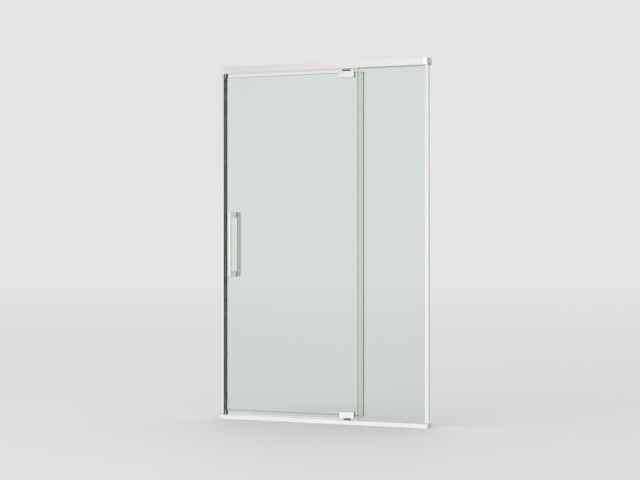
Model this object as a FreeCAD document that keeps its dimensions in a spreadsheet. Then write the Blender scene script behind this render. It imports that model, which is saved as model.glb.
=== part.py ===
import FreeCAD, Part
import os

import Sketcher

# Pivot shower door for an alcove. A header rail and a sill run from wall to wall and carry an
# inline fixed pane on the right. The door pane turns on a pivot pin at its top and bottom, set
# in from its right edge, and closes on a slim strike jamb at the left wall.
#
# Millimetres. X runs from the left wall to the right wall as seen from outside, Y from outside
# into the shower, Z up. The origin is the middle of the sill's underside. The door is shut.

doc = FreeCAD.newDocument("pivot_shower_door")
sheet = doc.addObject("Spreadsheet::Sheet", "sizes")

DRIVING_SIZES = [
    ("opening_width", 1220, "finished opening, wall to wall"),
    ("overall_height", 1981, "underside of the sill to the top of the header"),
    ("rail_depth", 78, "header and sill, front to back"),
    ("rail_wall", 2, "wall of the header and sill extrusions"),
    ("rail_chamfer", 1.2, "broken edge along the rails"),
    ("header_height", 40, "header extrusion"),
    ("sill_height", 23, "sill extrusion"),
    ("slot_depth", 14, "glazing slot in each rail"),
    ("filler_wall", 2, "snap-in strip that closes the slot under and over the door"),
    ("fit_gap", 0.2, "clearance between pieces that slide or drop into each other"),
    ("glass_thickness", 10, "both panes"),
    ("glass_arris", 0.8, "ground edge of the panes"),
    ("door_setback", 49, "rail front to the middle of the door pane"),
    ("panel_setback", 32, "rail front to the middle of the fixed pane"),
    ("panel_reach", 405.5, "right wall to the free edge of the fixed pane"),
    ("pane_overlap", 30, "door tail behind the fixed pane"),
    ("strike_gap", 15, "left wall to the door pane"),
    ("pivot_inset", 97, "door tail edge to the pivot axis"),
    ("gasket_wall", 2.2, "glazing gasket each side of the fixed pane"),
    ("gasket_lip", 1.5, "gasket seen past the rail and channel faces"),
    ("block_height", 3, "setting blocks under the fixed pane"),
    ("block_length", 60, "setting blocks along the pane"),
    ("block_inset", 70, "setting blocks from the pane's ends"),
    ("cap_plate", 1.5, "end caps of the sill"),
    ("cap_plug", 8, "end cap plugs inside the sill"),
    ("channel_reach", 20, "panel wall channel, out from the wall"),
    ("channel_wall", 2, "wall channels"),
    ("pane_wall_gap", 6, "fixed pane edge to the right wall"),
    ("bracket_width", 22, "header bracket on each wall"),
    ("tongue_length", 25, "bracket tongues inside the header"),
    ("tongue_wall", 2.4, "tubular tongues"),
    ("wall_hole_radius", 2.75, "clearance hole for a 5 mm wall screw"),
    ("wall_hole_inset", 150, "first and last channel hole from the rails"),
    ("set_screw_radius", 2, "small fixing screws"),
    ("set_screw_length", 7, "small fixing screws, under the head"),
    ("set_head_radius", 3.6, "small fixing screws"),
    ("set_head_height", 1.6, "small fixing screws"),
    ("pan_head_top", 2.7, "outer end of the pan heads, radius"),
    ("jamb_width", 12, "strike jamb, out from the wall"),
    ("jamb_depth", 58, "strike jamb, front to back"),
    ("jamb_wall", 1.6, "strike jamb sides"),
    ("jamb_face", 3.2, "strike jamb face that holds the seals"),
    ("jamb_border", 1.5, "metal left outside each seal"),
    ("jamb_screw_inset", 250, "end jamb screws from the rails"),
    ("seal_base", 1.8, "depth of the seals in the jamb face"),
    ("front_seal_width", 14, "flat seal before the door edge"),
    ("rear_seal_width", 25.5, "stop seal behind the door edge"),
    ("leaf_reach", 2.5, "stop leaf past the jamb face"),
    ("leaf_wall", 2, "stop leaf"),
    ("leaf_gap", 0.4, "stop leaf to what it stops"),
    ("edge_seal_reach", 2.5, "clear strip past the door pane's strike edge"),
    ("edge_seal_leg", 9, "clear seals over the face of the pane"),
    ("clear_wall", 1, "wall of the clear door seals"),
    ("tail_leg", 17, "tail seal over the face of the pane"),
    ("tail_fin_gap", 0.5, "tail fin to the fixed pane"),
    ("sweep_leg", 9, "bottom sweep over the face of the pane"),
    ("sweep_clearance", 3, "bottom sweep to the sill"),
    ("sweep_end_gap", 1.5, "bottom sweep to the clamp and to the other seals"),
    ("clamp_width", 86, "pivot clamps along the pane"),
    ("clamp_height", 35, "pivot clamps"),
    ("clamp_plate", 9.5, "each clamp plate"),
    ("clamp_corner", 6, "clamp corners on the pane"),
    ("clamp_edge", 0.9, "broken edge round the clamp plates"),
    ("upper_beyond", 7.5, "upper clamp past the edge of the pane"),
    ("lower_beyond", 14, "lower clamp past the edge of the pane"),
    ("clamp_gasket", 1, "sheet between clamp and pane"),
    ("clamp_screw_reach", 33, "pivot axis to each clamp screw"),
    ("clamp_screw_height", 26, "clamp screws from the rail end of the clamp"),
    ("clamp_screw_radius", 3, "clamp screws"),
    ("clamp_head_radius", 5.2, "clamp screws"),
    ("clamp_head_height", 3.4, "clamp screws"),
    ("clamp_skin", 2.8, "outer clamp plate left in front of the screw tips"),
    ("socket_floor", 1.2, "clamp screw heads under their hex sockets"),
    ("clamp_hole_radius", 6, "holes in the pane for the clamp screws"),
    ("upper_gap", 10.5, "header to the upper clamp"),
    ("lower_gap", 7.5, "sill to the lower clamp"),
    ("insert_width", 42, "steel insert between the clamp plates"),
    ("insert_reach", 25, "steel insert, from the rail end of the clamp"),
    ("insert_pocket", 3, "pocket for the insert in each plate"),
    ("notch_gap", 1, "notch in the pane round the insert"),
    ("pin_radius", 4, "pivot pins"),
    ("pin_hold", 20, "pivot pin inside its insert"),
    ("pin_tip", 1.5, "pivot pin short of the bush end"),
    ("running_gap", 0.05, "pivot pin in its bush, radial"),
    ("bush_wall", 2, "pivot bushes"),
    ("bush_reach", 16, "pivot bushes inside the rails"),
    ("bearing_width", 32, "bearing blocks along X"),
    ("upper_block_reach", 30, "upper bearing block, pivot axis to its end on the strike side"),
    ("bearing_depth", 16, "bearing blocks along Y"),
    ("bearing_height", 5, "bearing blocks"),
    ("bearing_screw_reach", 11.5, "pivot axis to each block screw"),
    ("bearing_screw_length", 12, "lower block screws; the upper ones add the plate"),
    ("pivot_plate", 3, "plate between the header and the upper block"),
    ("backing_height", 4, "backing plates inside the rails"),
    ("backing_depth", 22, "backing plates along Y, about the pivot axis"),
    ("washer_radius", 9, "thrust washers"),
    ("washer_play", 0.4, "thrust washers round the pins, radial"),
    ("end_gap", 0.3, "lower thrust washer to the clamp"),
    ("pull_inset", 58, "strike edge of the pane to the middle of the pulls"),
    ("pull_centre", 981, "middle of the pulls above the sill's underside"),
    ("pull_length", 367, "both pulls"),
    ("pull_width", 14.5, "both pulls along X"),
    ("outer_grip", 16, "grip bar of the outer pull, front to back"),
    ("inner_grip", 26, "grip bar of the inner pull, front to back"),
    ("pull_arm", 32, "arms, top to bottom"),
    ("outer_reach", 78, "outer pull from the pane"),
    ("inner_reach", 56, "inner pull from the pane"),
    ("pull_inner_round", 6, "corners of the finger opening"),
    ("pull_outer_round", 2.5, "outer corners of the pulls"),
    ("pull_edge", 0.8, "broken edges of the outer pull"),
    ("inner_pull_round", 6, "rounded edges of the inner pull"),
    ("pull_gasket", 1.2, "gaskets under the arms"),
    ("stud_radius", 4, "studs through the pane"),
    ("stud_reach", 18, "studs inside each arm"),
    ("stud_gap", 0.1, "studs in their holes, radial"),
    ("sleeve_radius", 5.9, "sleeves round the studs in the pane"),
    ("grub_radius", 2.5, "grub screws that hold the inner pull on the studs"),
    ("grub_sink", 1, "grub screws below the end of the arm"),
    ("grub_offset", 10, "grub screws from the pane end of the arm"),
]


class Size:
    """A length with its value and the sheet expression that it comes from."""

    def __init__(self, value, text):
        self.value = float(value)
        self.text = text

    def __add__(self, other):
        other = as_size(other)
        return Size(self.value + other.value, f"({self.text} + {other.text})")

    def __sub__(self, other):
        other = as_size(other)
        return Size(self.value - other.value, f"({self.text} - {other.text})")

    def __mul__(self, factor):
        return Size(self.value * factor, f"({self.text} * {factor})")

    def __truediv__(self, divisor):
        return Size(self.value / divisor, f"({self.text} / {divisor})")

    def __neg__(self):
        return self * -1


def as_size(length):
    return length if isinstance(length, Size) else Size(length, repr(length))


class Sizes:
    """The driving sizes, one attribute for each alias of the sheet."""


size = Sizes()
for row, (alias, value, meaning) in enumerate(DRIVING_SIZES, 1):
    sheet.set(f"A{row}", meaning)
    sheet.set(f"B{row}", str(value))
    sheet.setAlias(f"B{row}", alias)
    setattr(size, alias, Size(value, f"sizes.{alias}"))
doc.recompute()

# Places worked out from the driving sizes
left_wall = -size.opening_width / 2
right_wall = size.opening_width / 2
front = -size.rail_depth / 2
rear = size.rail_depth / 2
sill_top = size.sill_height
header_base = size.overall_height - size.header_height
header_left = left_wall + size.bracket_width
header_right = right_wall - size.bracket_width

half_glass = size.glass_thickness / 2
door_y = front + size.door_setback
door_outside = door_y - half_glass
door_inside = door_y + half_glass
panel_y = front + size.panel_setback
panel_outside = panel_y - half_glass
panel_inside = panel_y + half_glass

panel_left = right_wall - size.panel_reach
panel_right = right_wall - size.pane_wall_gap
door_left = left_wall + size.strike_gap
door_right = panel_left + size.pane_overlap
pivot_x = door_right - size.pivot_inset

slot_front = panel_outside - size.gasket_wall
slot_rear = panel_inside + size.gasket_wall
sill_slot_floor = sill_top - size.slot_depth
header_slot_roof = header_base + size.slot_depth
panel_base = sill_slot_floor + size.block_height + size.gasket_wall
panel_top = header_slot_roof - size.gasket_wall

lower_clamp_end = sill_top + size.lower_gap
upper_clamp_end = header_base - size.upper_gap
door_base = lower_clamp_end + size.lower_beyond
door_top = upper_clamp_end - size.upper_beyond

clamp_depth = size.glass_thickness + (size.clamp_gasket + size.clamp_plate) * 2
jamb_face_x = left_wall + size.jamb_width
pull_x = door_left + size.pull_inset
stud_reach_z = (size.pull_length - size.pull_arm) / 2

AXIS = {
    "x": FreeCAD.Vector(1, 0, 0),
    "y": FreeCAD.Vector(0, 1, 0),
    "z": FreeCAD.Vector(0, 0, 1),
}
# Each sketch plane with the axis that its pad runs along
PLANES = {"YZ": "x", "XZ": "y", "XY": "z"}
WALL_HOLE_COUNT = 4
JAMB_SCREW_COUNT = 3
TOLERANCE = 0.01  # when an edge is found by its length or its middle
nodes = []


def bind(thing, name, length):
    thing.setExpression(name, as_size(length).text)


def place(thing, x=None, y=None, z=None):
    for name, length in (("x", x), ("y", y), ("z", z)):
        if length is not None:
            bind(thing, f"Placement.Base.{name}", length)


def node(thing, label):
    """Makes a finished sub-part one of the files that are written."""
    thing.Label = label
    nodes.append(thing)
    return thing


def box(name, x, y, z):
    """A block between pairs of limits."""
    solid = doc.addObject("Part::Box", name)
    for side, (low, high) in (("Length", x), ("Width", y), ("Height", z)):
        bind(solid, side, high - low)
    place(solid, x[0], y[0], z[0])
    return solid


def rod(name, axis, x, y, z, radius, length):
    """A cylinder along an axis, from its lower end."""
    solid = doc.addObject("Part::Cylinder", name)
    solid.Placement.Rotation = FreeCAD.Rotation(AXIS["z"], AXIS[axis])
    bind(solid, "Radius", radius)
    bind(solid, "Height", length)
    place(solid, x, y, z)
    return solid


def cone(name, x, y, z, low_radius, high_radius, height):
    solid = doc.addObject("Part::Cone", name)
    bind(solid, "Radius1", low_radius)
    bind(solid, "Radius2", high_radius)
    bind(solid, "Height", height)
    place(solid, x, y, z)
    return solid


def fuse(name, *parts):
    joined = doc.addObject("Part::MultiFuse", name)
    joined.Shapes = list(parts)
    return joined


def cut(name, base, *tools):
    tool = tools[0] if len(tools) == 1 else fuse(name + "_tools", *tools)
    left = doc.addObject("Part::Cut", name)
    left.Base = base
    left.Tool = tool
    return left


def group(name, *parts):
    """Separate solids of one kind in one node."""
    kept = doc.addObject("Part::Compound", name)
    kept.Links = list(parts)
    return kept


def pin_coordinate(sketch, kind, element, point, length):
    index = sketch.addConstraint(
        Sketcher.Constraint(kind, -1, 1, element, point, length.value)
    )
    sketch.setExpression(f"Constraints[{index}]", length.text)


def draw_outline(sketch, points):
    """A closed outline of straight lines, each corner dimensioned from the sketch's origin."""
    points = [(as_size(u), as_size(v)) for u, v in points]
    first = sketch.GeometryCount
    corners = [FreeCAD.Vector(u.value, v.value, 0) for u, v in points]
    count = len(corners)
    for index, corner in enumerate(corners):
        following = corners[(index + 1) % count]
        sketch.addGeometry(Part.LineSegment(corner, following), False)
    for index in range(count):
        following = first + (index + 1) % count
        sketch.addConstraint(
            Sketcher.Constraint("Coincident", first + index, 2, following, 1)
        )
    for index, (u, v) in enumerate(points):
        pin_coordinate(sketch, "DistanceX", first + index, 1, u)
        pin_coordinate(sketch, "DistanceY", first + index, 1, v)


def draw_circle(sketch, u, v, radius):
    centre = FreeCAD.Vector(u.value, v.value, 0)
    circle = Part.Circle(centre, AXIS["z"], radius.value)
    element = sketch.addGeometry(circle, False)
    index = sketch.addConstraint(Sketcher.Constraint("Radius", element, radius.value))
    sketch.setExpression(f"Constraints[{index}]", radius.text)
    pin_coordinate(sketch, "DistanceX", element, 3, u)
    pin_coordinate(sketch, "DistanceY", element, 3, v)


def extrude(name, plane, span, outlines, circles=()):
    """A body padded from one sketch. The span is its two limits along the plane's normal."""
    body = doc.addObject("PartDesign::Body", name)
    sketch = body.newObject("Sketcher::SketchObject", name + "_sketch")
    origin = body.Origin.OriginFeatures
    support = next(f for f in origin if f.Role == plane + "_Plane")
    sketch.AttachmentSupport = [(support, "")]
    sketch.MapMode = "FlatFace"
    for points in outlines:
        draw_outline(sketch, points)
    for u, v, radius in circles:
        draw_circle(sketch, u, v, radius)
    pad = body.newObject("PartDesign::Pad", name + "_pad")
    pad.Profile = sketch
    pad.Reversed = plane == "XZ"
    bind(pad, "Length", span[1] - span[0])
    place(body, **{PLANES[plane]: span[0]})
    return body


def rectangle(u, v):
    return [(u[0], v[0]), (u[1], v[0]), (u[1], v[1]), (u[0], v[1])]


def runs_along(edge, axis):
    if len(edge.Vertexes) != 2 or edge.Curve.TypeId != "Part::GeomLine":
        return False
    direction = edge.Vertexes[1].Point - edge.Vertexes[0].Point
    return abs(direction.normalize().dot(AXIS[axis])) > 0.999


def near(length, target):
    return abs(length - target.value) < TOLERANCE


def round_edges(body, name, radius, chosen):
    """Fillets the edges of the body's tip that the test chooses."""
    doc.recompute()
    tip = body.Tip
    edges = enumerate(tip.Shape.Edges, 1)
    names = [f"Edge{number}" for number, edge in edges if chosen(edge)]
    fillet = body.newObject("PartDesign::Fillet", name)
    fillet.Base = (tip, names)
    bind(fillet, "Radius", radius)
    body.Tip = fillet


def break_all_edges(body, name, width):
    doc.recompute()
    tip = body.Tip
    chamfer = body.newObject("PartDesign::Chamfer", name)
    chamfer.Base = (tip, [""])
    chamfer.UseAllEdges = True
    bind(chamfer, "Size", width)
    body.Tip = chamfer


def centred(middle, width):
    return (middle - width / 2, middle + width / 2)


class Side:
    """Heights counted from a rail or clamp face: +1 counts upwards, -1 downwards."""

    def __init__(self, start, sense):
        self.start = start
        self.sense = sense

    def at(self, distance):
        return self.start + as_size(distance) * self.sense

    def span(self, near_end, far_end):
        ends = (self.at(near_end), self.at(far_end))
        return ends if self.sense > 0 else ends[::-1]


SILL = Side(sill_top, -1)  # from the slotted face into the sill
HEADER = Side(header_base, 1)  # from the slotted face into the header
DOOR_SIDES = {
    "lower": Side(lower_clamp_end, 1),  # from the clamp's end onto the pane
    "upper": Side(upper_clamp_end, -1),
}
RAIL_SIDES = {"lower": SILL, "upper": HEADER}
RAIL_GAPS = {"lower": size.lower_gap, "upper": size.upper_gap}
PANE_INSETS = {"lower": size.lower_beyond, "upper": size.upper_beyond}
BLOCK_SEATS = {"lower": as_size(0), "upper": -size.pivot_plate}
BLOCK_REACHES = {"lower": size.bearing_width / 2, "upper": size.upper_block_reach}


def rail(name, into, height, x):
    """A hollow rail with three chambers and a glazing slot in the face towards the panes."""
    wall = size.rail_wall
    broken = size.rail_chamfer
    back = into.at(height)
    outline = [
        (front + broken, into.at(0)),
        (slot_front, into.at(0)),
        (slot_front, into.at(size.slot_depth)),
        (slot_rear, into.at(size.slot_depth)),
        (slot_rear, into.at(0)),
        (rear - broken, into.at(0)),
        (rear, into.at(broken)),
        (rear, back),
        (front, back),
        (front, into.at(broken)),
    ]
    tall = into.span(wall, height - wall)
    low = into.span(size.slot_depth + wall, height - wall)
    chambers = [
        rectangle((front + wall, slot_front - wall), tall),
        rectangle((slot_front, slot_rear), low),
        rectangle((slot_rear + wall, rear - wall), tall),
    ]
    return extrude(name, "YZ", x, [outline, *chambers])


def slot_filler(name, into, x):
    """A U-shaped strip that snaps into the glazing slot where no pane runs."""
    gap = size.fit_gap
    wall = size.filler_wall
    outside = (slot_front + gap, slot_rear - gap)
    floor = into.at(size.slot_depth - gap)
    inner = into.at(wall)
    outline = [
        (outside[0], into.at(0)),
        (outside[1], into.at(0)),
        (outside[1], floor),
        (outside[1] - wall, floor),
        (outside[1] - wall, inner),
        (outside[0] + wall, inner),
        (outside[0] + wall, floor),
        (outside[0], floor),
    ]
    return extrude(name, "YZ", x, [outline])


def pivot_hardware_in_rail(side):
    """Bearing block, bush, backing plate, screws and thrust washer at one end of the pivot."""
    into = RAIL_SIDES[side]
    name = side + "_pivot"
    bore = size.pin_radius + size.running_gap
    outer = bore + size.bush_wall
    seat = BLOCK_SEATS[side]
    head = seat - size.bearing_height
    screw_x = [pivot_x - size.bearing_screw_reach, pivot_x + size.bearing_screw_reach]
    screw_radius = size.set_screw_radius
    gap = size.fit_gap

    def upright(label, x, radius, start, end):
        low, high = into.span(start, end)
        return rod(label, "z", x, door_y, low, radius, high - low)

    def head_cone(label, x, grow):
        low, high = into.span(head, head + size.set_head_height)
        wide = size.set_head_radius + grow
        thin = screw_radius + grow
        radii = (thin, wide) if into.sense < 0 else (wide, thin)
        return cone(label, x, door_y, low, *radii, high - low)

    bush = cut(
        name + "_bush_sleeve",
        upright(name + "_bush_outer", pivot_x, outer, head, size.bush_reach),
        upright(name + "_bush_bore", pivot_x, bore, head, size.bush_reach),
    )
    node(bush, name + "_bush")

    screws = []
    holes = []
    for number, x in enumerate(screw_x, 1):
        tip = head - seat + size.bearing_screw_length
        shank = upright(f"{name}_shank_{number}", x, screw_radius, head, tip)
        top = head_cone(f"{name}_head_{number}", x, as_size(0))
        screws.append(fuse(f"{name}_screw_{number}", shank, top))
        hole = upright(f"{name}_hole_{number}", x, screw_radius + gap / 2, head, tip)
        sink = head_cone(f"{name}_sink_{number}", x, gap / 2)
        holes.append(fuse(f"{name}_screw_room_{number}", hole, sink))
    node(group(name + "_screw_pair", *screws), name + "_screws")

    bush_room = upright(name + "_bush_room", pivot_x, outer, head, size.bush_reach)
    block = box(
        name + "_block_body",
        (pivot_x - BLOCK_REACHES[side], pivot_x + size.bearing_width / 2),
        centred(door_y, size.bearing_depth),
        into.span(head, seat),
    )
    node(cut(name + "_block_bored", block, bush_room, *holes), name + "_block")
    if side == "upper":
        spacer = box(
            name + "_spacer_body",
            centred(pivot_x, size.clamp_width),
            centred(door_y, clamp_depth),
            into.span(seat, 0),
        )
        node(cut(name + "_spacer_bored", spacer, bush_room, *holes), name + "_plate")

    backing = box(
        name + "_backing_body",
        centred(pivot_x, size.bearing_width),
        (slot_rear + size.rail_wall + gap, door_y + size.backing_depth / 2),
        into.span(size.rail_wall, size.rail_wall + size.backing_height),
    )
    node(cut(name + "_backing_bored", backing, bush_room, *holes), side + "_backing_plate")

    face = size.end_gap - RAIL_GAPS[side]
    washer_bore = size.pin_radius + size.washer_play
    washer = cut(
        name + "_washer_ring",
        upright(name + "_washer_disc", pivot_x, size.washer_radius, face, head),
        upright(name + "_washer_bore", pivot_x, washer_bore, face, head),
    )
    node(washer, side + "_thrust_washer")
    return [bush_room, *holes]


def pivot_clamp(side):
    """Two plates, gaskets, screws, the steel insert and the pin at one end of the door pane."""
    onto = DOOR_SIDES[side]
    name = side + "_clamp"
    gap = size.fit_gap
    across = centred(pivot_x, size.clamp_width)
    tall = onto.span(0, size.clamp_height)
    screw_x = [pivot_x - size.clamp_screw_reach, pivot_x + size.clamp_screw_reach]
    screw_z = onto.at(size.clamp_screw_height)
    corner_z = onto.at(size.clamp_height)
    radius = size.clamp_screw_radius
    inner_face = {
        "outer": door_outside - size.clamp_gasket,
        "inner": door_inside + size.clamp_gasket,
    }
    outer_face = {
        "outer": inner_face["outer"] - size.clamp_plate,
        "inner": inner_face["inner"] + size.clamp_plate,
    }
    insert_y = (
        inner_face["outer"] - size.insert_pocket,
        inner_face["inner"] + size.insert_pocket,
    )
    insert_x = centred(pivot_x, size.insert_width)
    insert_z = onto.span(0, size.insert_reach)

    screws = []
    rooms = []
    head_y = outer_face["inner"] - size.clamp_head_height
    tip_y = outer_face["outer"] + size.clamp_skin
    for number, x in enumerate(screw_x, 1):
        shank = rod(
            f"{name}_shank_{number}", "y", x, tip_y, screw_z, radius, head_y - tip_y
        )
        head = rod(
            f"{name}_head_{number}",
            "y",
            x,
            head_y,
            screw_z,
            size.clamp_head_radius,
            size.clamp_head_height - gap,
        )
        socket = rod(
            f"{name}_socket_{number}",
            "y",
            x,
            head_y + size.socket_floor,
            screw_z,
            radius / 2,
            size.clamp_head_height,
        )
        screws.append(
            cut(
                f"{name}_screw_{number}",
                fuse(f"{name}_screw_body_{number}", shank, head),
                socket,
            )
        )
        room = rod(
            f"{name}_room_{number}",
            "y",
            x,
            tip_y,
            screw_z,
            radius + gap / 2,
            outer_face["inner"] - tip_y,
        )
        head_room = rod(
            f"{name}_head_room_{number}",
            "y",
            x,
            head_y,
            screw_z,
            size.clamp_head_radius + gap,
            size.clamp_head_height * 2,
        )
        rooms += [room, head_room]
    node(group(name + "_screw_pair", *screws), name + "_screws")

    insert_room = box(
        name + "_insert_room",
        (insert_x[0] - gap, insert_x[1] + gap),
        (insert_y[0] - gap / 2, insert_y[1] + gap / 2),
        onto.span(-size.clamp_height, size.insert_reach + gap),
    )
    for which in ("outer", "inner"):
        faces = sorted(
            (inner_face[which], outer_face[which]), key=lambda face: face.value
        )
        plate = extrude(f"{name}_{which}_plate", "XZ", faces, [rectangle(across, tall)])
        round_edges(
            plate,
            f"{name}_{which}_corners",
            size.clamp_corner,
            lambda edge: runs_along(edge, "y") and near(edge.CenterOfMass.z, corner_z),
        )
        show_y = as_size(0) if which == "outer" else size.clamp_plate
        round_edges(
            plate,
            f"{name}_{which}_edges",
            size.clamp_edge,
            lambda edge: edge.BoundBox.YLength < TOLERANCE
            and near(edge.CenterOfMass.y, show_y),
        )
        node(
            cut(f"{name}_{which}_machined", plate, insert_room, *rooms),
            f"{name}_{which}",
        )

    gaskets = []
    for which, low in (
        ("outer", inner_face["outer"]),
        ("inner", door_inside),
    ):
        sheet_body = box(
            f"{name}_{which}_sheet",
            across,
            (low, low + size.clamp_gasket),
            onto.span(PANE_INSETS[side], size.clamp_height - size.clamp_edge),
        )
        gaskets.append(
            cut(f"{name}_{which}_gasket", sheet_body, insert_room, *rooms[::2])
        )
    node(group(name + "_gasket_pair", *gaskets), name + "_gaskets")

    insert = box(name + "_insert_body", insert_x, insert_y, insert_z)
    pin_low, pin_high = onto.span(-pin_drop(side), size.pin_hold)
    pin = rod(
        name + "_pin",
        "z",
        pivot_x,
        door_y,
        pin_low,
        size.pin_radius,
        pin_high - pin_low,
    )
    node(cut(name + "_insert_bored", insert, pin), side + "_pivot_insert")
    node(pin, side + "_pivot_pin")


def pin_drop(side):
    """How far the pivot pin stands out of its clamp."""
    return RAIL_GAPS[side] + size.bush_reach - size.pin_tip


def wall_holes(name, wall, y, sense):
    """Screw holes through a channel's web, spread evenly between the rails."""
    first = sill_top + size.wall_hole_inset
    last = header_base - size.wall_hole_inset
    start = wall if sense > 0 else wall - size.channel_wall * 2
    holes = []
    for number in range(WALL_HOLE_COUNT):
        z = first + (last - first) * number / (WALL_HOLE_COUNT - 1)
        holes.append(
            rod(
                f"{name}_{number + 1}",
                "x",
                start,
                y,
                z,
                size.wall_hole_radius,
                size.channel_wall * 2,
            )
        )
    return holes


def sill_end_cap(name, wall_x, inward):
    """A plate that closes one end of the sill, with two plugs in the sill's chambers."""
    broken = size.rail_chamfer
    wall = size.rail_wall
    gap = size.fit_gap
    face = wall_x + size.cap_plate * inward
    x = sorted((wall_x, face), key=lambda end: end.value)
    reach = sorted((face, face + size.cap_plug * inward), key=lambda end: end.value)
    outline = [
        (front, 0),
        (rear, 0),
        (rear, sill_top - broken),
        (rear - broken, sill_top),
        (front + broken, sill_top),
        (front, sill_top - broken),
    ]
    z = SILL.span(wall + gap, size.sill_height - wall - gap)
    plate = extrude(name + "_plate", "YZ", x, [outline])
    plugs = [
        box(name + "_front_plug", reach, (front + wall + gap, slot_front - wall - gap), z),
        box(name + "_rear_plug", reach, (slot_rear + wall + gap, rear - wall - gap), z),
    ]
    return fuse(name, plate, *plugs)


def make_sill():
    sill_left = left_wall + size.cap_plate
    sill_right = right_wall - size.cap_plate
    body = rail("sill_extrusion", SILL, size.sill_height, (sill_left, sill_right))
    rooms = pivot_hardware_in_rail("lower")
    node(cut("sill_drilled", body, *rooms), "sill")
    filler = slot_filler("sill_slot_strip", SILL, (sill_left, panel_left))
    node(filler, "sill_filler")
    caps = [sill_end_cap("left_cap", left_wall, 1), sill_end_cap("right_cap", right_wall, -1)]
    node(group("sill_cap_pair", *caps), "sill_end_caps")


def tongue_set(name, x, inward):
    """The two tubular tongues of a header bracket, in the header's front and rear chambers."""
    wall = size.rail_wall
    gap = size.fit_gap
    solids = []
    bores = []
    z = HEADER.span(wall + gap, size.header_height - wall - gap)
    chambers = [
        (front + wall + gap, slot_front - wall - gap),
        (slot_rear + wall + gap, rear - wall - gap),
    ]
    reach = sorted((x, x + size.tongue_length * inward), key=lambda end: end.value)
    thick = size.tongue_wall
    for number, y in enumerate(chambers, 1):
        solids.append(box(f"{name}_tongue_{number}", reach, y, z))
        bores.append(
            box(
                f"{name}_tongue_bore_{number}",
                reach,
                (y[0] + thick, y[1] - thick),
                (z[0] + thick, z[1] - thick),
            )
        )
    return solids, bores, [(y[0] + y[1]) / 2 for y in chambers]


def header_bracket(side):
    """A block on the wall that the header slides onto, with its two set screws."""
    name = "header_bracket_" + side
    inward = 1 if side == "left" else -1
    inner_x = header_left if side == "left" else header_right
    x = (left_wall, header_left) if side == "left" else (header_right, right_wall)
    broken = size.rail_chamfer
    outline = [
        (front + broken, header_base),
        (rear - broken, header_base),
        (rear, header_base + broken),
        (rear, size.overall_height),
        (front, size.overall_height),
        (front, header_base + broken),
    ]
    block = extrude(name + "_block", "YZ", x, [outline])
    tongues, bores, middles = tongue_set(name, inner_x, inward)
    solid = fuse(
        name + "_solid", block, *(cut(t.Name + "_tube", t, b) for t, b in zip(tongues, bores))
    )
    slot = box(
        name + "_slot", x, (slot_front, slot_rear), (header_base, header_slot_roof)
    )
    middle_z = (header_base + size.overall_height) / 2
    holes = [slot]
    for number, y in enumerate(middles, 1):
        holes.append(
            rod(
                f"{name}_wall_hole_{number}",
                "x",
                x[0],
                y,
                middle_z,
                size.wall_hole_radius,
                size.bracket_width,
            )
        )
    screw_x = inner_x + size.tongue_length * inward / 2
    screws = []
    rooms = []
    for number, y in enumerate(middles, 1):
        screw, room = set_screw(f"{name}_screw_{number}", screw_x, y)
        screws.append(screw)
        rooms.append(room)
    node(cut(name + "_machined", solid, *holes, *rooms), name)
    return screws, rooms


def set_screw(name, x, y):
    """A countersunk screw down through the header's top wall into a tongue, and its room."""
    top = size.overall_height
    low = top - size.set_screw_length
    sink = top - size.set_head_height

    def screw_form(label, grow):
        radius = size.set_screw_radius + grow
        wide = size.set_head_radius + grow
        shank = rod(label + "_shank", "z", x, y, low, radius, size.set_screw_length)
        head = cone(label + "_head", x, y, sink, radius, wide, size.set_head_height)
        return fuse(label, shank, head)

    screw = screw_form(name + "_form", as_size(0))
    return screw, screw_form(name + "_room", size.fit_gap / 2)


def make_header():
    body = rail("header_extrusion", HEADER, size.header_height, (header_left, header_right))
    rooms = pivot_hardware_in_rail("upper")
    screws = []
    for side in ("left", "right"):
        side_screws, side_rooms = header_bracket(side)
        screws += side_screws
        rooms += side_rooms
    node(cut("header_drilled", body, *rooms), "header_rail")
    node(group("header_screw_set", *screws), "header_bracket_screws")
    filler = slot_filler("header_slot_strip", HEADER, (header_left, panel_left))
    node(filler, "header_filler")


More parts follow.
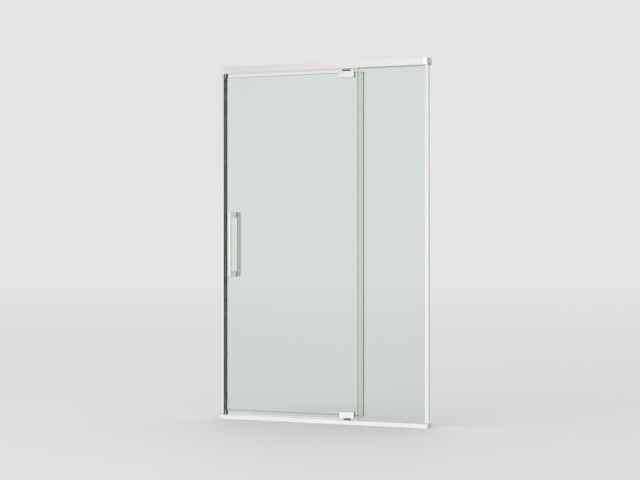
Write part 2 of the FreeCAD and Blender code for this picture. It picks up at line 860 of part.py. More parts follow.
def make_strike():
    """Wall channel, jamb, seals and jamb screws at the left wall."""
    z = (sill_top, header_base)
    wall = size.channel_wall
    outer = centred(door_y, size.jamb_depth)
    inner = (outer[0] + size.jamb_wall, outer[1] - size.jamb_wall)
    gap = size.fit_gap
    face_back = jamb_face_x - size.jamb_face

    leg_tip = face_back - gap
    leg = (inner[0] + gap, inner[1] - gap)
    channel = extrude(
        "strike_channel_profile",
        "XY",
        z,
        [
            [
                (left_wall, leg[0]),
                (leg_tip, leg[0]),
                (leg_tip, leg[0] + wall),
                (left_wall + wall, leg[0] + wall),
                (left_wall + wall, leg[1] - wall),
                (leg_tip, leg[1] - wall),
                (leg_tip, leg[1]),
                (left_wall, leg[1]),
            ]
        ],
    )

    seal_back = jamb_face_x - size.seal_base
    front_seal = (
        outer[0] + size.jamb_border,
        outer[0] + size.jamb_border + size.front_seal_width,
    )
    rear_seal = (
        outer[1] - size.jamb_border - size.rear_seal_width,
        outer[1] - size.jamb_border,
    )
    jamb = extrude(
        "strike_jamb_profile",
        "XY",
        z,
        [
            [
                (left_wall, outer[0]),
                (jamb_face_x, outer[0]),
                (jamb_face_x, front_seal[0]),
                (seal_back, front_seal[0]),
                (seal_back, front_seal[1]),
                (jamb_face_x, front_seal[1]),
                (jamb_face_x, rear_seal[0]),
                (seal_back, rear_seal[0]),
                (seal_back, rear_seal[1]),
                (jamb_face_x, rear_seal[1]),
                (jamb_face_x, outer[1]),
                (left_wall, outer[1]),
                (left_wall, inner[1]),
                (face_back, inner[1]),
                (face_back, inner[0]),
                (left_wall, inner[0]),
            ]
        ],
    )
    node(
        extrude("front_seal_strip", "XY", z, [rectangle((seal_back, jamb_face_x), front_seal)]),
        "strike_seal_front",
    )
    stop_face = door_inside + size.clear_wall + size.leaf_gap
    leaf_tip = jamb_face_x + size.leaf_reach
    node(
        extrude(
            "rear_seal_strip",
            "XY",
            z,
            [
                [
                    (seal_back, rear_seal[0]),
                    (jamb_face_x, rear_seal[0]),
                    (jamb_face_x, stop_face),
                    (leaf_tip, stop_face),
                    (leaf_tip, stop_face + size.leaf_wall),
                    (jamb_face_x, stop_face + size.leaf_wall * 2),
                    (jamb_face_x, rear_seal[1]),
                    (seal_back, rear_seal[1]),
                ]
            ],
        ),
        "strike_seal_rear",
    )

    screw_x = (left_wall + face_back) / 2
    first = sill_top + size.jamb_screw_inset
    last = header_base - size.jamb_screw_inset
    length = size.set_screw_length
    radius = size.set_screw_radius
    screws = []
    rooms = []
    for number in range(JAMB_SCREW_COUNT):
        height = first + (last - first) * number / (JAMB_SCREW_COUNT - 1)
        start = outer[1] - length
        label = f"jamb_screw_{number + 1}"
        shank = rod(label + "_shank", "y", screw_x, start, height, radius, length)
        head = cone(
            label + "_head",
            screw_x,
            outer[1],
            height,
            size.set_head_radius,
            size.pan_head_top,
            size.set_head_height,
        )
        head.Placement.Rotation = FreeCAD.Rotation(AXIS["z"], AXIS["y"])
        screws.append(fuse(label, shank, head))
        rooms.append(
            rod(label + "_room", "y", screw_x, start, height, radius + gap / 2, length)
        )
    node(group("jamb_screw_set", *screws), "strike_jamb_screws")
    node(cut("strike_jamb_drilled", jamb, *rooms), "strike_jamb")
    holes = wall_holes("strike_wall_hole", left_wall, door_y, 1)
    node(cut("strike_channel_drilled", channel, *rooms, *holes), "strike_wall_channel")


def make_panel():
    """Fixed pane with its gaskets, setting blocks and wall channel."""
    wall = size.gasket_wall
    lip = size.gasket_lip
    pane = extrude(
        "panel_pane",
        "XZ",
        (panel_outside, panel_inside),
        [rectangle((panel_left, panel_right), (panel_base, panel_top))],
    )
    break_all_edges(pane, "panel_arris", size.glass_arris)
    node(pane, "fixed_panel_glass")

    pane_y = (panel_outside, panel_inside)
    slot_y = (slot_front, slot_rear)
    channel_x = right_wall - size.channel_reach
    runs = {
        "panel_bottom_gasket": (panel_base, panel_base - wall, sill_top + lip),
        "panel_top_gasket": (panel_top, panel_top + wall, header_base - lip),
    }
    for label, (edge, web, tip) in runs.items():
        outline = [
            (slot_y[0], web),
            (slot_y[1], web),
            (slot_y[1], tip),
            (pane_y[1], tip),
            (pane_y[1], edge),
            (pane_y[0], edge),
            (pane_y[0], tip),
            (slot_y[0], tip),
        ]
        strip = extrude(label + "_strip", "YZ", (panel_left, panel_right), [outline])
        node(strip, label)

    side_z = (sill_top + lip, header_base - lip)
    web = panel_right + wall
    tip = channel_x - lip
    node(
        extrude(
            "panel_side_strip",
            "XY",
            side_z,
            [
                [
                    (tip, slot_y[0]),
                    (web, slot_y[0]),
                    (web, slot_y[1]),
                    (tip, slot_y[1]),
                    (tip, pane_y[1]),
                    (panel_right, pane_y[1]),
                    (panel_right, pane_y[0]),
                    (tip, pane_y[0]),
                ]
            ],
        ),
        "panel_side_gasket",
    )

    blocks = []
    length = size.block_length
    starts = (
        panel_left + size.block_inset,
        panel_right - size.block_inset - length,
    )
    for number, x in enumerate(starts, 1):
        blocks.append(
            box(
                f"setting_block_{number}",
                (x, x + length),
                (slot_y[0] + size.fit_gap, slot_y[1] - size.fit_gap),
                (sill_slot_floor, sill_slot_floor + size.block_height),
            )
        )
    node(group("setting_block_pair", *blocks), "panel_setting_blocks")

    thick = size.channel_wall
    channel = extrude(
        "panel_channel_profile",
        "XY",
        (sill_top, header_base),
        [
            [
                (channel_x, slot_y[0] - thick),
                (right_wall, slot_y[0] - thick),
                (right_wall, slot_y[1] + thick),
                (channel_x, slot_y[1] + thick),
                (channel_x, slot_y[1]),
                (right_wall - thick, slot_y[1]),
                (right_wall - thick, slot_y[0]),
                (channel_x, slot_y[0]),
            ]
        ],
    )
    holes = wall_holes("panel_wall_hole", right_wall, panel_y, -1)
    node(cut("panel_channel_drilled", channel, *holes), "panel_wall_channel")


def make_door_glass():
    """The door pane with its two pivot notches and its screw and stud holes."""
    notch_x = centred(pivot_x, size.insert_width + size.notch_gap * 2)
    reach = size.insert_reach + size.notch_gap
    low_notch = DOOR_SIDES["lower"].at(reach)
    high_notch = DOOR_SIDES["upper"].at(reach)
    outline = [
        (door_left, door_base),
        (notch_x[0], door_base),
        (notch_x[0], low_notch),
        (notch_x[1], low_notch),
        (notch_x[1], door_base),
        (door_right, door_base),
        (door_right, door_top),
        (notch_x[1], door_top),
        (notch_x[1], high_notch),
        (notch_x[0], high_notch),
        (notch_x[0], door_top),
        (door_left, door_top),
    ]
    holes = []
    for side in DOOR_SIDES.values():
        for reach_x in (-size.clamp_screw_reach, size.clamp_screw_reach):
            holes.append(
                (pivot_x + reach_x, side.at(size.clamp_screw_height), size.clamp_hole_radius)
            )
    stud_hole = size.sleeve_radius + size.stud_gap
    for z in stud_heights():
        holes.append((pull_x, z, stud_hole))
    pane = extrude("door_pane", "XZ", (door_outside, door_inside), [outline], holes)
    break_all_edges(pane, "door_arris", size.glass_arris)
    node(pane, "door_glass")


def stud_heights():
    return [size.pull_centre - stud_reach_z, size.pull_centre + stud_reach_z]


def make_door_seals():
    """Clear strips: on the strike edge, on the tail edge and along the bottom edge."""
    wall = size.clear_wall
    tall = (door_base, door_top)
    strike = door_left - size.edge_seal_reach
    leg_tip = door_left + size.edge_seal_leg
    node(
        extrude(
            "strike_edge_strip",
            "XY",
            tall,
            [
                [
                    (strike, door_outside),
                    (door_left, door_outside),
                    (door_left, door_inside),
                    (leg_tip, door_inside),
                    (leg_tip, door_inside + wall),
                    (strike, door_inside + wall),
                ]
            ],
        ),
        "strike_edge_seal",
    )

    tail = door_right - size.tail_leg
    fin_tip = panel_inside + size.tail_fin_gap
    node(
        extrude(
            "tail_strip",
            "XY",
            (door_base + size.sweep_leg + size.sweep_end_gap, door_top),
            [
                [
                    (tail, door_outside),
                    (tail, door_outside - wall),
                    (door_right - wall, door_outside - wall),
                    (door_right - wall, fin_tip),
                    (door_right, fin_tip),
                    (door_right + wall, door_outside - wall),
                    (door_right + wall, door_inside + wall),
                    (tail, door_inside + wall),
                    (tail, door_inside),
                    (door_right, door_inside),
                    (door_right, door_outside),
                ]
            ],
        ),
        "tail_edge_seal",
    )

    clamp_x = centred(pivot_x, size.clamp_width)
    gap = size.sweep_end_gap
    stretches = {
        "long": (leg_tip + gap, clamp_x[0] - gap),
        "short": (clamp_x[1] + gap, door_right),
    }
    fin = centred(door_y, wall)
    leg_top = door_base + size.sweep_leg
    tip = sill_top + size.sweep_clearance
    outline = [
        (door_outside, door_base),
        (door_outside, leg_top),
        (door_outside - wall, leg_top),
        (door_outside - wall, door_base - wall),
        (fin[0], door_base - wall),
        (fin[0], tip),
        (fin[1], tip),
        (fin[1], door_base - wall),
        (door_inside + wall, door_base - wall),
        (door_inside + wall, leg_top),
        (door_inside, leg_top),
        (door_inside, door_base),
    ]
    sweeps = []
    for label, x in stretches.items():
        sweeps.append(extrude(f"sweep_{label}", "YZ", x, [outline]))
    node(group("sweep_pair", *sweeps), "bottom_sweep")


def pull(name, face, sense, reach, grip):
    """A D pull, squared outside and softly rounded inside the shower.

    The face is the side of the pane that it stands on, and sense points away from it.
    """
    base = face + size.pull_gasket * sense
    grip_back = face + (reach - grip) * sense
    grip_front = face + reach * sense
    z = centred(size.pull_centre, size.pull_length)
    opening = (z[0] + size.pull_arm, z[1] - size.pull_arm)
    outline = [
        (base, z[0]),
        (grip_front, z[0]),
        (grip_front, z[1]),
        (base, z[1]),
        (base, opening[1]),
        (grip_back, opening[1]),
        (grip_back, opening[0]),
        (base, opening[0]),
    ]
    body = extrude(name + "_bar", "YZ", centred(pull_x, size.pull_width), [outline])
    if sense > 0:
        round_edges(
            body,
            name + "_rounded_edges",
            size.inner_pull_round,
            lambda edge: not near(edge.CenterOfMass.y, base),
        )
        return body
    round_edges(
        body,
        name + "_opening_corners",
        size.pull_inner_round,
        lambda edge: runs_along(edge, "x")
        and near(edge.CenterOfMass.y, grip_back)
        and any(near(edge.CenterOfMass.z, end) for end in opening),
    )
    round_edges(
        body,
        name + "_outer_corners",
        size.pull_outer_round,
        lambda edge: runs_along(edge, "x") and near(edge.CenterOfMass.y, grip_front),
    )
    break_all_edges(body, name + "_broken_edges", size.pull_edge)
    return body


def make_pulls():
    """Back-to-back pulls on two studs through the pane."""
    outer = pull("outer_pull", door_outside, -1, size.outer_reach, size.outer_grip)
    inner = pull("inner_pull", door_inside, 1, size.inner_reach, size.inner_grip)
    stud_low = door_outside - size.pull_gasket - size.stud_reach
    stud_length = size.glass_thickness + (size.pull_gasket + size.stud_reach) * 2
    room_radius = size.stud_radius + size.stud_gap
    arm_x = centred(pull_x, size.pull_width)
    grub_y = door_inside + size.pull_gasket + size.grub_offset
    grub_length = size.pull_arm / 2 - size.stud_radius - size.grub_sink - size.stud_gap
    ends = centred(size.pull_centre, size.pull_length)

    studs = []
    rooms = []
    sleeves = []
    gaskets = []
    grubs = []
    grub_rooms = []
    for number, z in enumerate(stud_heights(), 1):
        studs.append(
            rod(f"stud_{number}", "y", pull_x, stud_low, z, size.stud_radius, stud_length)
        )
        room = rod(f"stud_room_{number}", "y", pull_x, stud_low, z, room_radius, stud_length)
        rooms.append(room)
        sleeve = rod(
            f"sleeve_body_{number}",
            "y",
            pull_x,
            door_outside,
            z,
            size.sleeve_radius,
            size.glass_thickness,
        )
        sleeves.append(cut(f"sleeve_{number}", sleeve, room))
        for which, low in (
            ("outer", door_outside - size.pull_gasket),
            ("inner", door_inside),
        ):
            pad_sheet = box(
                f"pull_gasket_sheet_{which}_{number}",
                arm_x,
                (low, low + size.pull_gasket),
                centred(z, size.pull_arm),
            )
            gaskets.append(cut(f"pull_gasket_{which}_{number}", pad_sheet, room))
        outward = -1 if number == 1 else 1
        end = ends[0] if number == 1 else ends[1]
        mouth = end - size.grub_sink * outward
        low = mouth if number == 1 else mouth - grub_length
        grub = rod(f"grub_{number}", "z", pull_x, grub_y, low, size.grub_radius, grub_length)
        hex_room = rod(
            f"grub_socket_{number}",
            "z",
            pull_x,
            grub_y,
            low if number == 1 else low + grub_length / 2,
            size.grub_radius / 2,
            grub_length / 2,
        )
        grubs.append(cut(f"grub_screw_{number}", grub, hex_room))
        room_low = ends[0] if number == 1 else low
        grub_rooms.append(
            rod(
                f"grub_room_{number}",
                "z",
                pull_x,
                grub_y,
                room_low,
                size.grub_radius + size.stud_gap,
                grub_length + size.grub_sink,
            )
        )
    node(cut("outer_pull_drilled", outer, *rooms), "outer_pull")
    node(cut("inner_pull_drilled", inner, *rooms, *grub_rooms), "inner_pull")
    node(group("stud_pair", *studs), "pull_studs")
    node(group("sleeve_pair", *sleeves), "pull_sleeves")
    node(group("pull_gasket_set", *gaskets), "pull_gaskets")
    node(group("grub_pair", *grubs), "pull_grub_screws")


def check_document():
    """Stops with a message if any object failed or any sub-part's shape is unusable."""
    for thing in doc.Objects:
        if {"Invalid", "Error"} & set(thing.State):
            raise RuntimeError(f"{thing.Label} failed: {thing.State}")
    for thing in nodes:
        if thing.Shape.isNull() or not thing.Shape.isValid():
            raise RuntimeError(f"{thing.Label} has no valid shape")
        if not thing.Shape.Solids:
            raise RuntimeError(f"{thing.Label} has no solid")
    labels = [thing.Label for thing in nodes]
    if len(set(labels)) != len(labels):
        raise RuntimeError("two sub-parts share a label")


def write_parts():
    os.makedirs("parts", exist_ok=True)
    for thing in nodes:
        thing.Shape.exportStep(f"parts/{thing.Label}.step")


make_sill()
make_header()
make_strike()
make_panel()
make_door_glass()
make_door_seals()
for pivot_side in DOOR_SIDES:
    pivot_clamp(pivot_side)
make_pulls()
doc.recompute()
check_document()
write_parts()
print(len(nodes), "sub-parts written")
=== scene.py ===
import math

import bmesh
import bpy
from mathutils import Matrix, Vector

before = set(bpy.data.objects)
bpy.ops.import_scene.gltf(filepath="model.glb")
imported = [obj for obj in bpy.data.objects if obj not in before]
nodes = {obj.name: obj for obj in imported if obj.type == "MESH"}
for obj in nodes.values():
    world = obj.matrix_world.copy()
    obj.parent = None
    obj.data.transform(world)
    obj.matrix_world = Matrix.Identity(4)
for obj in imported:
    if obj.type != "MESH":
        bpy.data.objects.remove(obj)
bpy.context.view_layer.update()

# Looks of a pivot shower door: satin nickel rails, clamps and pulls, two panes of clear
# tempered glass, dark strike seals and clear door seals, on a plain pale floor.

scene = bpy.context.scene

# ------------------------------------------------------------------ material helpers


class Nodes:
    """Builds the node tree of one material or world."""

    def __init__(self, owner, output="ShaderNodeOutputMaterial"):
        self.owner = owner
        owner.use_nodes = True
        self.tree = owner.node_tree
        self.tree.nodes.clear()
        self.out = self.node(output)

    def node(self, kind, **settings):
        made = self.tree.nodes.new(kind)
        for name, value in settings.items():
            setattr(made, name, value)
        return made

    def feed(self, socket, value):
        """Links an output to a socket, or sets the socket's own value."""
        if isinstance(value, bpy.types.NodeSocket):
            self.tree.links.new(value, socket)
        else:
            socket.default_value = value

    def coords(self, stretch=(1, 1, 1)):
        """Object coordinates, which are metres in the door set's frame, scaled along each axis."""
        place = self.node("ShaderNodeTexCoord")
        mapping = self.node("ShaderNodeMapping")
        mapping.inputs["Scale"].default_value = stretch
        self.feed(mapping.inputs["Vector"], place.outputs["Object"])
        return mapping.outputs["Vector"]

    def noise(self, vector, scale, detail=2.0, roughness=0.5, distortion=0.0):
        made = self.node("ShaderNodeTexNoise")
        self.feed(made.inputs["Vector"], vector)
        made.inputs["Scale"].default_value = scale
        made.inputs["Detail"].default_value = detail
        made.inputs["Roughness"].default_value = roughness
        made.inputs["Distortion"].default_value = distortion
        return made.outputs["Fac"]

    def remap(self, value, low, high, from_low=0.3, from_high=0.7):
        made = self.node("ShaderNodeMapRange")
        self.feed(made.inputs["Value"], value)
        made.inputs["From Min"].default_value = from_low
        made.inputs["From Max"].default_value = from_high
        made.inputs["To Min"].default_value = low
        made.inputs["To Max"].default_value = high
        return made.outputs["Result"]

    def math(self, operation, a, b=0.0):
        made = self.node("ShaderNodeMath", operation=operation)
        self.feed(made.inputs[0], a)
        self.feed(made.inputs[1], b)
        return made.outputs["Value"]

    def colours(self, factor, first, second):
        """Mixes two colours, each an RGB triple or an output."""
        made = self.node("ShaderNodeMix", data_type="RGBA")
        self.feed(made.inputs[0], factor)
        for socket, colour in ((made.inputs[6], first), (made.inputs[7], second)):
            self.feed(socket, (*colour, 1) if isinstance(colour, tuple) else colour)
        return made.outputs[2]

    def bump(self, height, strength, distance):
        made = self.node("ShaderNodeBump")
        made.inputs["Strength"].default_value = strength
        made.inputs["Distance"].default_value = distance
        self.feed(made.inputs["Height"], height)
        return made.outputs["Normal"]

    def principled(self, **sockets):
        made = self.node("ShaderNodeBsdfPrincipled")
        for name, value in sockets.items():
            self.feed(made.inputs[name.replace("_", " ")], value)
        return made.outputs["BSDF"]

    def mix(self, factor, first, second):
        """Mixes two shaders."""
        made = self.node("ShaderNodeMixShader")
        for socket, value in zip(made.inputs, (factor, first, second)):
            self.feed(socket, value)
        return made.outputs["Shader"]

    def see_through(self, colour):
        made = self.node("ShaderNodeBsdfTransparent")
        made.inputs["Color"].default_value = (*colour, 1)
        return made.outputs["BSDF"]

    def mirrored(self):
        """1 for a ray that came off a shiny surface, 0 also for one that came through a pane."""
        rays = self.node("ShaderNodeLightPath").outputs
        return self.math("SUBTRACT", rays["Is Glossy Ray"], rays["Is Transmission Ray"])

    def done(self, shader):
        self.feed(self.out.inputs["Surface"], shader)
        return self.owner


def new_material(name):
    return Nodes(bpy.data.materials.new(name))


# noise cells per metre across and along the brush lines, and those of the fine specks
BRUSH_ACROSS = 900.0
BRUSH_ALONG = 6.0
SPECKS = 260
# height in metres that a bump of full strength stands for
BRUSH_DEPTH = 0.00003
GRAIN_DEPTH = 0.00004
MOULD_DEPTH = 0.00006
GRIND_DEPTH = 0.00005
STREAK_DEPTH = 0.0003
WAVE_DEPTH = 0.0004


def brushed_metal(name, along, colour, deep, roughness, brush=0.25):
    """Satin metal with fine brush lines along one axis and faint cloudiness."""
    n = new_material(name)
    stretch = [BRUSH_ACROSS] * 3
    stretch["xyz".index(along)] = BRUSH_ALONG
    lines = n.noise(n.coords(stretch), 1.0, 3.0, 0.6)
    clouds = n.noise(n.coords(), 5.0, 3.0, 0.55)
    specks = n.noise(n.coords((SPECKS, SPECKS, SPECKS)), 1.0, 1.0)
    tone = n.colours(n.remap(clouds, 0.0, 1.0), deep, colour)
    fine = n.colours(n.remap(lines, 0.0, 0.10), tone, deep)
    cloudy = n.remap(clouds, roughness - 0.02, roughness + 0.03)
    rough = n.math("ADD", n.remap(lines, -0.03, 0.03), cloudy)
    height = n.math("ADD", lines, n.math("MULTIPLY", specks, 0.15))
    shader = n.principled(
        Base_Color=fine,
        Metallic=1.0,
        Roughness=rough,
        Normal=n.bump(height, brush, BRUSH_DEPTH),
    )
    return n.done(shader)


def plain_metal(name, colour, deep, roughness):
    n = new_material(name)
    grain = n.noise(n.coords(), 420.0, 3.0, 0.6)
    clouds = n.noise(n.coords(), 30.0, 2.0)
    shader = n.principled(
        Base_Color=n.colours(n.remap(clouds, 0.0, 1.0), deep, colour),
        Metallic=1.0,
        Roughness=n.remap(grain, roughness - 0.05, roughness + 0.06),
        Normal=n.bump(grain, 0.2, GRAIN_DEPTH),
    )
    return n.done(shader)


def plastic(name, colour, second, roughness):
    n = new_material(name)
    grain = n.noise(n.coords(), 300.0, 3.0, 0.6)
    clouds = n.noise(n.coords(), 12.0, 2.0)
    shader = n.principled(
        Base_Color=n.colours(n.remap(clouds, 0.0, 1.0), colour, second),
        Roughness=n.remap(grain, roughness - 0.06, roughness + 0.08),
        Normal=n.bump(grain, 0.25, MOULD_DEPTH),
    )
    return n.done(shader)


GLASS_TINT = (0.85, 0.898, 0.857)
GLASS_SHADOW = (0.90, 0.94, 0.91)
GROUND_DEEP = (0.018, 0.042, 0.030)
GROUND_PALE = (0.032, 0.068, 0.050)
# a surface whose normal leans further from Y than this is part of a pane's edge
EDGE_LIMIT = 0.9


def pane_glass(name):
    """Clear glass, faintly green through its face and deep green along its ground edges."""
    n = new_material(name)
    normal = n.node("ShaderNodeTexCoord").outputs["Normal"]
    parts = n.node("ShaderNodeSeparateXYZ")
    n.feed(parts.inputs["Vector"], normal)
    facing = n.math("ABSOLUTE", parts.outputs["Y"])
    edge = n.math("LESS_THAN", facing, EDGE_LIMIT)
    waves = n.noise(n.coords(), 2.2, 1.0)
    clear = n.principled(
        Base_Color=(*GLASS_TINT, 1),
        Roughness=0.0,
        IOR=1.5,
        Transmission_Weight=1.0,
        Normal=n.bump(waves, 0.05, WAVE_DEPTH),
    )
    grind = n.noise(n.coords(), 700.0, 2.0, 0.6)
    ground = n.principled(
        Base_Color=n.colours(n.remap(grind, 0.0, 1.0), GROUND_DEEP, GROUND_PALE),
        Roughness=0.5,
        Specular_IOR_Level=0.0,
        Normal=n.bump(grind, 0.3, GRIND_DEPTH),
    )
    shadow = n.node("ShaderNodeLightPath").outputs["Is Shadow Ray"]
    return n.done(n.mix(shadow, n.mix(edge, clear, ground), n.see_through(GLASS_SHADOW)))


VINYL_BODY = (0.70, 0.73, 0.71)
VINYL_CLEAR = (0.985, 0.99, 0.985)


def clear_vinyl(name, cover, colour=VINYL_BODY):
    """See-through vinyl with a milky body, which covers the given share of what is behind it."""
    n = new_material(name)
    streaks = n.noise(n.coords((40, 40, 3)), 1.0, 2.0)
    body = n.principled(
        Base_Color=(*colour, 1),
        Roughness=n.remap(streaks, 0.18, 0.32),
        IOR=1.45,
        Normal=n.bump(streaks, 0.2, STREAK_DEPTH),
    )
    return n.done(n.mix(cover, n.see_through(VINYL_CLEAR), body))


# ------------------------------------------------------------------ finishes

# each metal's colour and its deeper tone, each plastic's two tones
NICKEL = (0.85, 0.84, 0.828), (0.79, 0.78, 0.768)
NICKEL_SILL = (0.93, 0.92, 0.905), (0.88, 0.87, 0.855)
NICKEL_PULL = (0.86, 0.852, 0.843), (0.81, 0.80, 0.79)
NICKEL_CLAMP = (0.84, 0.83, 0.82), (0.79, 0.78, 0.765)
NICKEL_BRACKET = (0.90, 0.896, 0.89), (0.87, 0.865, 0.858)
STEEL = (0.66, 0.66, 0.65), (0.58, 0.58, 0.57)
BRONZE = (0.62, 0.46, 0.27), (0.52, 0.38, 0.22)
ACETAL = (0.16, 0.16, 0.165), (0.20, 0.20, 0.205)
CHARCOAL = (0.045, 0.048, 0.046), (0.06, 0.064, 0.062)
WASHER = (0.42, 0.425, 0.42), (0.48, 0.485, 0.48)
MILKY = (0.82, 0.84, 0.82)

finishes = {
    "rails": brushed_metal("nickel_brushed_x", "x", *NICKEL, 0.24),
    "sill": brushed_metal("nickel_sill_x", "x", *NICKEL_SILL, 0.3),
    "uprights": brushed_metal("nickel_brushed_z", "z", *NICKEL, 0.24),
    "hardware": brushed_metal("nickel_satin_z", "z", *NICKEL_PULL, 0.2, 0.15),
    "clamps": brushed_metal("nickel_satin_x", "x", *NICKEL_CLAMP, 0.2, 0.15),
    "brackets": brushed_metal("nickel_bright_x", "x", *NICKEL_BRACKET, 0.18, 0.1),
    "steel": plain_metal("stainless_steel", *STEEL, 0.3),
    "bronze": plain_metal("sintered_bronze", *BRONZE, 0.42),
    "glass": pane_glass("clear_tempered_glass"),
    "acetal": plastic("grey_acetal", *ACETAL, 0.4),
    "rubber": plastic("charcoal_rubber", *CHARCOAL, 0.6),
    "gasket": clear_vinyl("milky_glazing_vinyl", 0.85, MILKY),
    "washer": plastic("grey_washer_vinyl", *WASHER, 0.5),
    "vinyl": clear_vinyl("clear_vinyl", 0.05),
}

wearing = {
    "rails": ["header_rail", "header_filler"],
    "sill": ["sill", "sill_filler", "sill_end_caps"],
    "brackets": ["header_bracket_left", "header_bracket_right"],
    "uprights": ["strike_jamb", "strike_wall_channel", "panel_wall_channel"],
    "hardware": ["outer_pull", "inner_pull"],
    "clamps": [
        "upper_clamp_outer", "upper_clamp_inner", "lower_clamp_outer", "lower_clamp_inner",
        "upper_pivot_plate",
    ],
    "steel": [
        "header_bracket_screws", "strike_jamb_screws", "upper_clamp_screws", "lower_clamp_screws",
        "upper_pivot_screws", "lower_pivot_screws", "upper_pivot_pin", "lower_pivot_pin",
        "upper_pivot_insert", "lower_pivot_insert", "upper_backing_plate", "lower_backing_plate",
        "pull_studs", "pull_grub_screws",
    ],
    "bronze": ["upper_pivot_bush", "lower_pivot_bush"],
    "glass": ["door_glass", "fixed_panel_glass"],
    "acetal": [
        "upper_pivot_block", "lower_pivot_block", "upper_thrust_washer", "lower_thrust_washer",
        "pull_sleeves",
    ],
    "rubber": [
        "strike_seal_front", "strike_seal_rear", "upper_clamp_gaskets", "lower_clamp_gaskets",
    ],
    "washer": ["pull_gaskets"],
    "gasket": [
        "panel_top_gasket", "panel_bottom_gasket", "panel_side_gasket", "panel_setting_blocks",
    ],
    "vinyl": ["strike_edge_seal", "tail_edge_seal", "bottom_sweep"],
}
for finish, names in wearing.items():
    for name in names:
        slots = nodes[name].data.materials
        slots.clear()
        slots.append(finishes[finish])

# ------------------------------------------------------------------ floor, light, camera

# what the camera sees, what lights matt surfaces, and the level that shiny ones mirror
BACKDROP = (0.770, 0.773, 0.772)
STUDIO_DIFFUSE = (0.84, 0.84, 0.845)
STUDIO_LEVEL = 0.84
# azimuth, height, inner and outer angle in degrees, change of the mirrored level
STUDIO_PATCHES = [
    (12, 3, 8, 18, 0.30),
    (26, -4, 4, 11, 0.18),
    (34, 18, 6, 16, -0.60),
    (100, 0, 25, 55, -0.70),
    (203, 0, 12, 42, -0.33),
    (285, 0, 25, 55, -0.45),
    (0, 90, 15, 80, 0.10),
    (0, -90, 20, 60, -0.25),
]


FLOOR_RADIUS = 60
FLOOR_BELOW = 0.0002
FLOOR_PAINT = (0.74, 0.74, 0.74)
# the floor turns into the backdrop as 1 / (distance + FADE_START) falls from near to far
FADE_START = 8.0
FADE_NEAR = 0.115
FADE_FAR = 0.022


def stage_floor():
    """A pale floor that fades into the backdrop far behind the door."""
    mesh = bpy.data.meshes.new("floor")
    made = bmesh.new()
    bmesh.ops.create_circle(made, cap_ends=True, radius=FLOOR_RADIUS, segments=96)
    made.to_mesh(mesh)
    made.free()
    floor = bpy.data.objects.new("floor", mesh)
    floor.location.z = -FLOOR_BELOW
    scene.collection.objects.link(floor)
    n = new_material("floor_paint")
    length = n.node("ShaderNodeVectorMath", operation="LENGTH")
    n.feed(length.inputs[0], n.coords())
    closeness = n.math("DIVIDE", 1.0, n.math("ADD", length.outputs["Value"], FADE_START))
    far = n.remap(closeness, 0.0, 1.0, FADE_NEAR, FADE_FAR)
    paint = n.principled(Base_Color=(*FLOOR_PAINT, 1), Roughness=0.6)
    glow = n.node("ShaderNodeEmission")
    glow.inputs["Color"].default_value = (*BACKDROP, 1)
    ground = n.mix(far, paint, glow.outputs["Emission"])
    mesh.materials.append(n.done(n.mix(n.mirrored(), ground, n.see_through((1, 1, 1)))))


def patch(n, direction, azimuth, height, inner, outer, amount):
    """A soft-edged patch of the studio. Azimuth counts from -Y towards -X, all in degrees."""
    around = math.radians(azimuth)
    up = math.radians(height)
    centre = (-math.sin(around) * math.cos(up), -math.cos(around) * math.cos(up), math.sin(up))
    along = n.node("ShaderNodeVectorMath", operation="DOT_PRODUCT")
    n.feed(along.inputs[0], direction)
    along.inputs[1].default_value = centre
    soft = n.node("ShaderNodeMapRange", interpolation_type="SMOOTHSTEP")
    n.feed(soft.inputs["Value"], along.outputs["Value"])
    limits = (math.cos(math.radians(outer)), math.cos(math.radians(inner)), 0.0, amount)
    for name, value in zip(("From Min", "From Max", "To Min", "To Max"), limits):
        soft.inputs[name].default_value = value
    return soft.outputs["Result"]


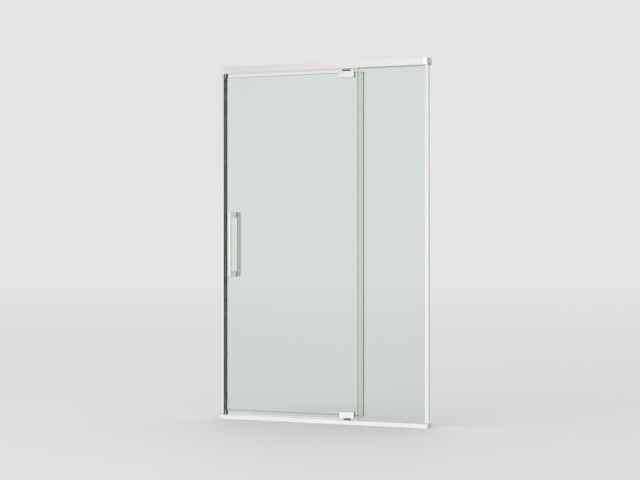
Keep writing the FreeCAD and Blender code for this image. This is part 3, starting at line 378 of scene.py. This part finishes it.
def stage_world():
    """An even studio: a flat backdrop, and soft brighter and darker sides in reflections."""
    world = bpy.data.worlds.new("studio")
    scene.world = world
    n = Nodes(world, "ShaderNodeOutputWorld")
    direction = n.node("ShaderNodeTexCoord").outputs["Generated"]
    level = STUDIO_LEVEL
    for spot in STUDIO_PATCHES:
        level = n.math("ADD", patch(n, direction, *spot), level)

    def shade(colour, strength=1.0):
        made = n.node("ShaderNodeBackground")
        made.inputs["Color"].default_value = (*colour, 1)
        n.feed(made.inputs["Strength"], strength)
        return made.outputs["Background"]

    diffuse = n.node("ShaderNodeLightPath").outputs["Is Diffuse Ray"]
    plain = n.mix(diffuse, shade(BACKDROP), shade(STUDIO_DIFFUSE))
    n.done(n.mix(n.mirrored(), plain, shade((1, 1, 1), level)))


def softbox(name, place, aim, width, height, strength):
    """A lamp that gives the floor its soft shadow and isn't mirrored."""
    lamp = bpy.data.lights.new(name, "AREA")
    lamp.shape = "RECTANGLE"
    lamp.size = width
    lamp.size_y = height
    lamp.energy = strength * width * height * math.pi
    made = bpy.data.objects.new(name, lamp)
    made.location = place
    made.rotation_euler = (Vector(aim) - Vector(place)).to_track_quat("-Z", "Y").to_euler()
    made.visible_camera = False
    made.visible_glossy = False
    made.visible_transmission = False
    scene.collection.objects.link(made)


KEY_PLACE = (-3.0, -5.5, 6.5)
KEY_AIM = (0, 0, 0.9)
KEY_SIDE = 3.0
KEY_STRENGTH = 5.5
stage_floor()
stage_world()
softbox("key_light", KEY_PLACE, KEY_AIM, KEY_SIDE, KEY_SIDE, KEY_STRENGTH)

SENSOR = 36
FOCAL_PIXELS = 1467
PICTURE_PIXELS = 640
EYE_PLACE = (2.963, -7.516, 0.988)
EYE_TILT = 90.125
EYE_TURN = 21.65
camera = bpy.data.cameras.new("camera")
camera.sensor_width = SENSOR
camera.lens = FOCAL_PIXELS / PICTURE_PIXELS * SENSOR
camera.clip_end = 200
eye = bpy.data.objects.new("camera", camera)
eye.location = EYE_PLACE
eye.rotation_euler = (math.radians(EYE_TILT), 0, math.radians(EYE_TURN))
scene.collection.objects.link(eye)
scene.camera = eye
scene.view_settings.view_transform = "Standard"
